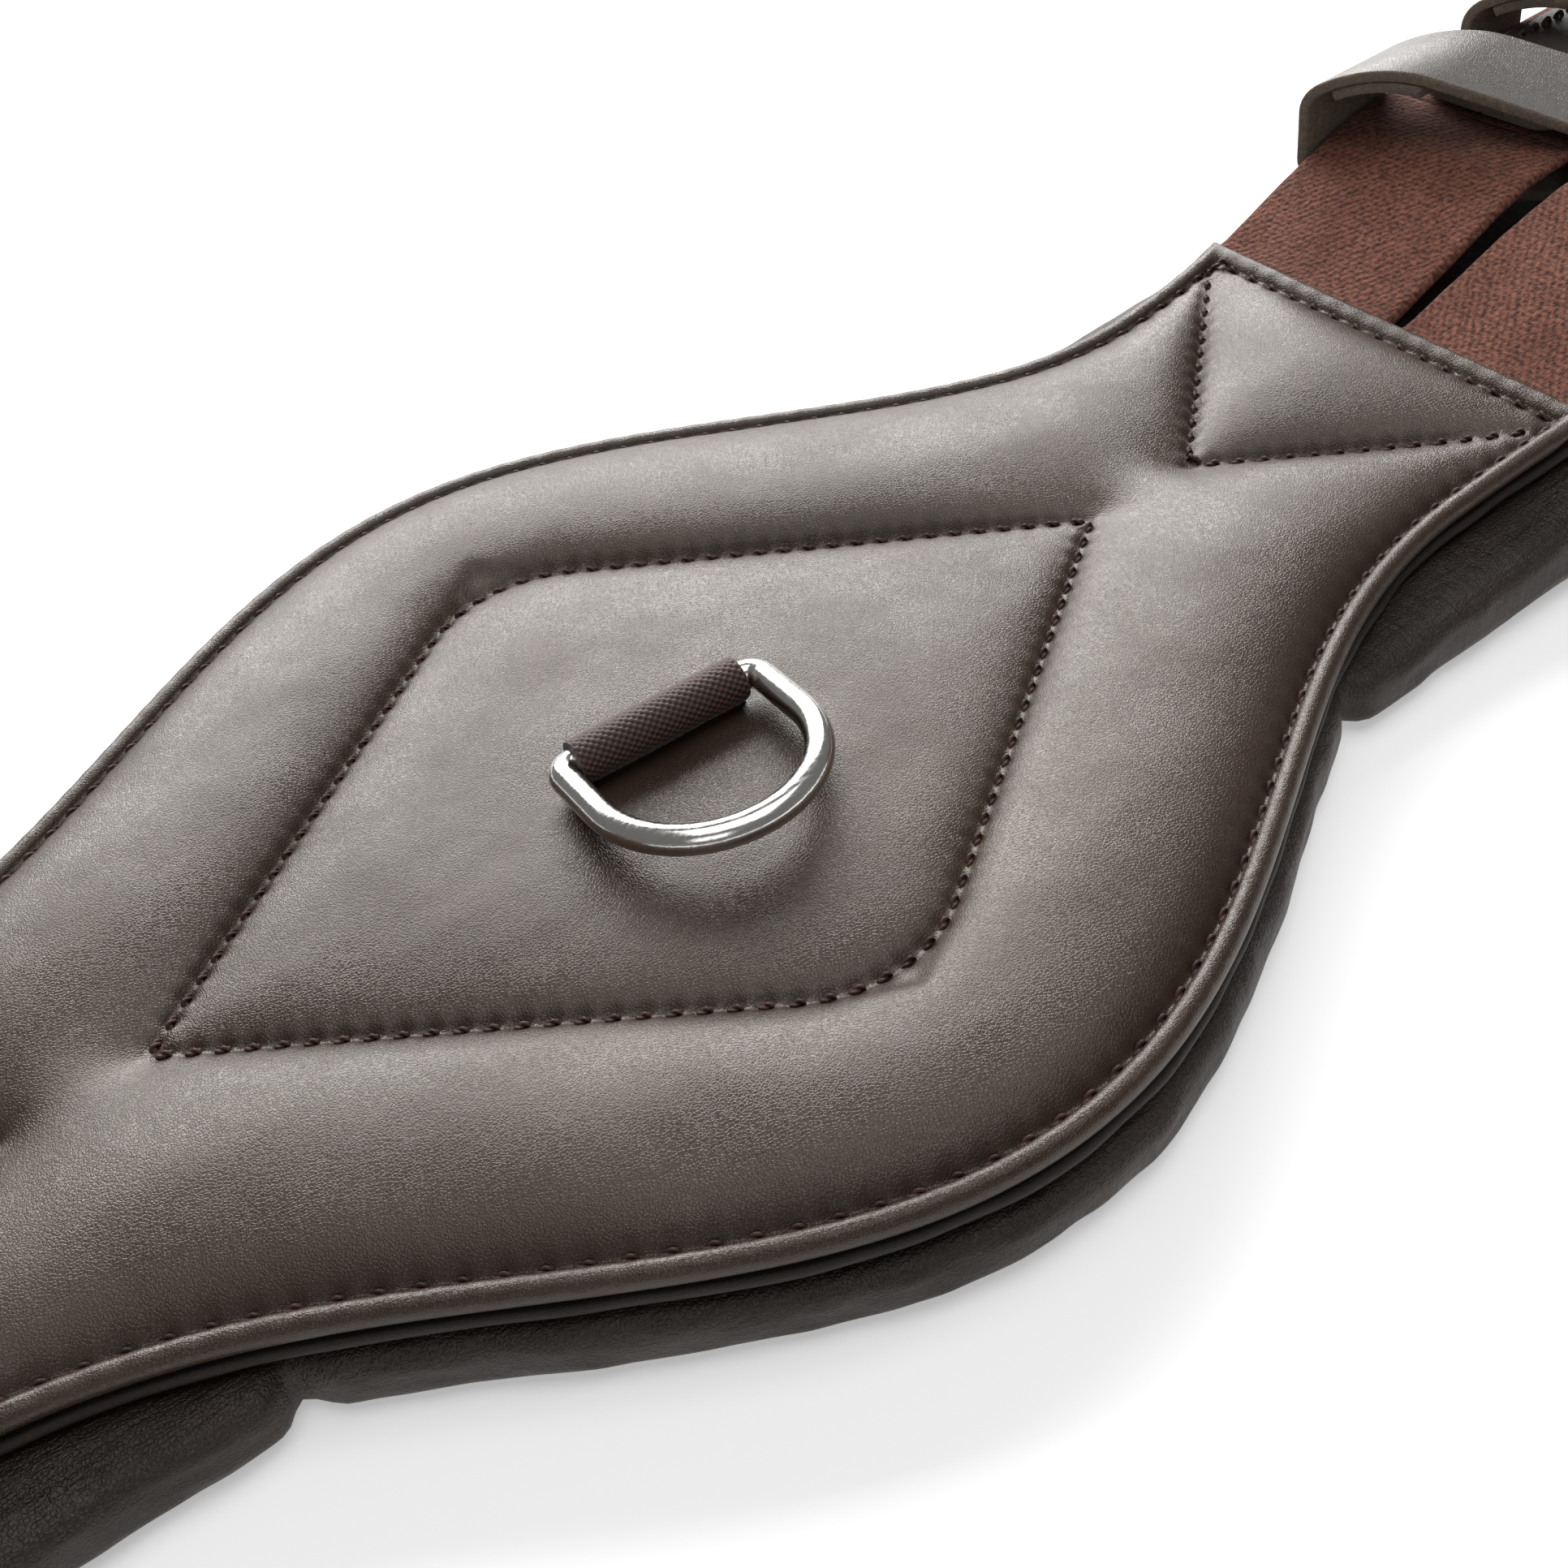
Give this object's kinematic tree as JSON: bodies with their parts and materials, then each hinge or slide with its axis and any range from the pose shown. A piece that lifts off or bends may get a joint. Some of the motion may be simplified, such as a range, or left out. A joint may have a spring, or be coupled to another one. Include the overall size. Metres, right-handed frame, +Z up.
{
  "type": "saddle girth",
  "caption": "Short padded leather saddle girth with a wavy belly panel, a central D-ring, elastic straps, arched keepers and roller buckles at each end.",
  "frame": {"origin": "on the resting face, under the middle of the belly panel", "axes": "+X along the girth, +Y across it away from the D-ring's bow, +Z up away from the horse"},
  "size_m": [0.593, 0.1766, 0.0466],
  "materials": {
    "panel_leather": "satin dark brown grain leather",
    "backing_leather": "plain dark brown leather",
    "liner_leather": "soft creased dark brown leather",
    "strap_leather": "smooth strap leather with raw brown edges",
    "panel_foam": "closed-cell foam",
    "liner_foam": "soft padding foam",
    "load_webbing": "woven nylon webbing",
    "ring_webbing": "coarse woven nylon webbing",
    "elastic": "reddish brown woven elastic",
    "thread": "waxed brown thread",
    "polished_nickel": "polished nickel plate"
  },
  "bodies": {
    "pad": {"outer_leather": "panel_leather", "diamond_pad": "panel_foam", "surround_pad": "panel_foam", "left_triangle_pad": "panel_foam", "right_triangle_pad": "panel_foam", "panel_foam": "panel_foam", "panel_backing": "backing_leather", "load_webbing": "load_webbing", "edge_stitching": "thread", "diamond_stitching": "thread", "left_triangle_stitching": "thread", "right_triangle_stitching": "thread", "liner_cover": "liner_leather", "liner_foam": "liner_foam", "d_ring_loop": "ring_webbing", "left_near_elastic_tail": "elastic", "left_far_elastic_tail": "elastic", "right_near_elastic_tail": "elastic", "right_far_elastic_tail": "elastic"},
    "d_ring": {"d_ring": "polished_nickel"},
    "left_near_strap": {"left_near_elastic": "elastic"},
    "left_near_keeper": {"left_near_keeper": "strap_leather"},
    "left_near_chape": {"left_near_chape": "strap_leather", "left_near_chape_stitching": "thread", "left_near_sewn_keeper": "strap_leather"},
    "left_near_buckle": {"left_near_buckle_frame": "polished_nickel"},
    "left_near_tongue": {"left_near_buckle_tongue": "polished_nickel"},
    "left_near_roller": {"left_near_buckle_roller": "polished_nickel"},
    "left_far_strap": {"left_far_elastic": "elastic"},
    "left_far_keeper": {"left_far_keeper": "strap_leather"},
    "left_far_chape": {"left_far_chape": "strap_leather", "left_far_chape_stitching": "thread", "left_far_sewn_keeper": "strap_leather"},
    "left_far_buckle": {"left_far_buckle_frame": "polished_nickel"},
    "left_far_tongue": {"left_far_buckle_tongue": "polished_nickel"},
    "left_far_roller": {"left_far_buckle_roller": "polished_nickel"},
    "right_near_strap": {"right_near_elastic": "elastic"},
    "right_near_keeper": {"right_near_keeper": "strap_leather"},
    "right_near_chape": {"right_near_chape": "strap_leather", "right_near_chape_stitching": "thread", "right_near_sewn_keeper": "strap_leather"},
    "right_near_buckle": {"right_near_buckle_frame": "polished_nickel"},
    "right_near_tongue": {"right_near_buckle_tongue": "polished_nickel"},
    "right_near_roller": {"right_near_buckle_roller": "polished_nickel"},
    "right_far_strap": {"right_far_elastic": "elastic"},
    "right_far_keeper": {"right_far_keeper": "strap_leather"},
    "right_far_chape": {"right_far_chape": "strap_leather", "right_far_chape_stitching": "thread", "right_far_sewn_keeper": "strap_leather"},
    "right_far_buckle": {"right_far_buckle_frame": "polished_nickel"},
    "right_far_tongue": {"right_far_buckle_tongue": "polished_nickel"},
    "right_far_roller": {"right_far_buckle_roller": "polished_nickel"}
  },
  "joints": [
    {"name": "d_ring_swing", "type": "hinge", "parent": "pad", "child": "d_ring", "pos_m": [0.0004, 0.0014, 0.02345], "axis": [-0.9994, 0.0349, 0], "range_deg": [-6, 170]},
    {"name": "left_near_strap_flex", "type": "hinge", "parent": "pad", "child": "left_near_strap", "pos_m": [-0.152, -0.0212, 0.02105], "axis": [0, 1, 0], "range_deg": [-1.5, 75]},
    {"name": "left_near_keeper_slide", "type": "slide", "parent": "left_near_strap", "child": "left_near_keeper", "axis": [-0.9995, -0.0314, 0], "range_m": [-0.002, 0.012]},
    {"name": "left_near_stretch", "type": "slide", "parent": "left_near_strap", "child": "left_near_chape", "axis": [-0.9995, -0.0314, 0], "range_m": [0, 0.015], "stiffness_N_per_m": 3000},
    {"name": "left_near_buckle_swing", "type": "hinge", "parent": "left_near_chape", "child": "left_near_buckle", "pos_m": [-0.26195, -0.02466, 0.0334], "axis": [-0.0314, 0.9995, 0], "range_deg": [0, 55]},
    {"name": "left_near_tongue_lift", "type": "hinge", "parent": "left_near_buckle", "child": "left_near_tongue", "pos_m": [-0.26195, -0.02466, 0.0334], "axis": [-0.0314, 0.9995, 0], "range_deg": [0, 65]},
    {"name": "left_near_roller_spin", "type": "hinge", "parent": "left_near_buckle", "child": "left_near_roller", "pos_m": [-0.28993, -0.02553, 0.0334], "axis": [-0.0314, 0.9995, 0], "continuous": true},
    {"name": "left_far_strap_flex", "type": "hinge", "parent": "pad", "child": "left_far_strap", "pos_m": [-0.152, 0.0212, 0.02105], "axis": [0, 1, 0], "range_deg": [-1.5, 75]},
    {"name": "left_far_keeper_slide", "type": "slide", "parent": "left_far_strap", "child": "left_far_keeper", "axis": [-0.9995, 0.0314, 0], "range_m": [-0.002, 0.012]},
    {"name": "left_far_stretch", "type": "slide", "parent": "left_far_strap", "child": "left_far_chape", "axis": [-0.9995, 0.0314, 0], "range_m": [0, 0.015], "stiffness_N_per_m": 3000},
    {"name": "left_far_buckle_swing", "type": "hinge", "parent": "left_far_chape", "child": "left_far_buckle", "pos_m": [-0.26195, 0.02466, 0.0334], "axis": [0.0314, 0.9995, 0], "range_deg": [0, 55]},
    {"name": "left_far_tongue_lift", "type": "hinge", "parent": "left_far_buckle", "child": "left_far_tongue", "pos_m": [-0.26195, 0.02466, 0.0334], "axis": [0.0314, 0.9995, 0], "range_deg": [0, 65]},
    {"name": "left_far_roller_spin", "type": "hinge", "parent": "left_far_buckle", "child": "left_far_roller", "pos_m": [-0.28993, 0.02553, 0.0334], "axis": [0.0314, 0.9995, 0], "continuous": true},
    {"name": "right_near_strap_flex", "type": "hinge", "parent": "pad", "child": "right_near_strap", "pos_m": [0.152, -0.0212, 0.02105], "axis": [0, -1, 0], "range_deg": [-1.5, 75]},
    {"name": "right_near_keeper_slide", "type": "slide", "parent": "right_near_strap", "child": "right_near_keeper", "axis": [0.9995, -0.0314, 0], "range_m": [-0.002, 0.012]},
    {"name": "right_near_stretch", "type": "slide", "parent": "right_near_strap", "child": "right_near_chape", "axis": [0.9995, -0.0314, 0], "range_m": [0, 0.015], "stiffness_N_per_m": 3000},
    {"name": "right_near_buckle_swing", "type": "hinge", "parent": "right_near_chape", "child": "right_near_buckle", "pos_m": [0.26195, -0.02466, 0.0334], "axis": [-0.0314, -0.9995, 0], "range_deg": [0, 55]},
    {"name": "right_near_tongue_lift", "type": "hinge", "parent": "right_near_buckle", "child": "right_near_tongue", "pos_m": [0.26195, -0.02466, 0.0334], "axis": [-0.0314, -0.9995, 0], "range_deg": [0, 65]},
    {"name": "right_near_roller_spin", "type": "hinge", "parent": "right_near_buckle", "child": "right_near_roller", "pos_m": [0.28993, -0.02553, 0.0334], "axis": [-0.0314, -0.9995, 0], "continuous": true},
    {"name": "right_far_strap_flex", "type": "hinge", "parent": "pad", "child": "right_far_strap", "pos_m": [0.152, 0.0212, 0.02105], "axis": [0, -1, 0], "range_deg": [-1.5, 75]},
    {"name": "right_far_keeper_slide", "type": "slide", "parent": "right_far_strap", "child": "right_far_keeper", "axis": [0.9995, 0.0314, 0], "range_m": [-0.002, 0.012]},
    {"name": "right_far_stretch", "type": "slide", "parent": "right_far_strap", "child": "right_far_chape", "axis": [0.9995, 0.0314, 0], "range_m": [0, 0.015], "stiffness_N_per_m": 3000},
    {"name": "right_far_buckle_swing", "type": "hinge", "parent": "right_far_chape", "child": "right_far_buckle", "pos_m": [0.26195, 0.02466, 0.0334], "axis": [0.0314, -0.9995, 0], "range_deg": [0, 55]},
    {"name": "right_far_tongue_lift", "type": "hinge", "parent": "right_far_buckle", "child": "right_far_tongue", "pos_m": [0.26195, 0.02466, 0.0334], "axis": [0.0314, -0.9995, 0], "range_deg": [0, 65]},
    {"name": "right_far_roller_spin", "type": "hinge", "parent": "right_far_buckle", "child": "right_far_roller", "pos_m": [0.28993, 0.02553, 0.0334], "axis": [0.0314, -0.9995, 0], "continuous": true}
  ]
}
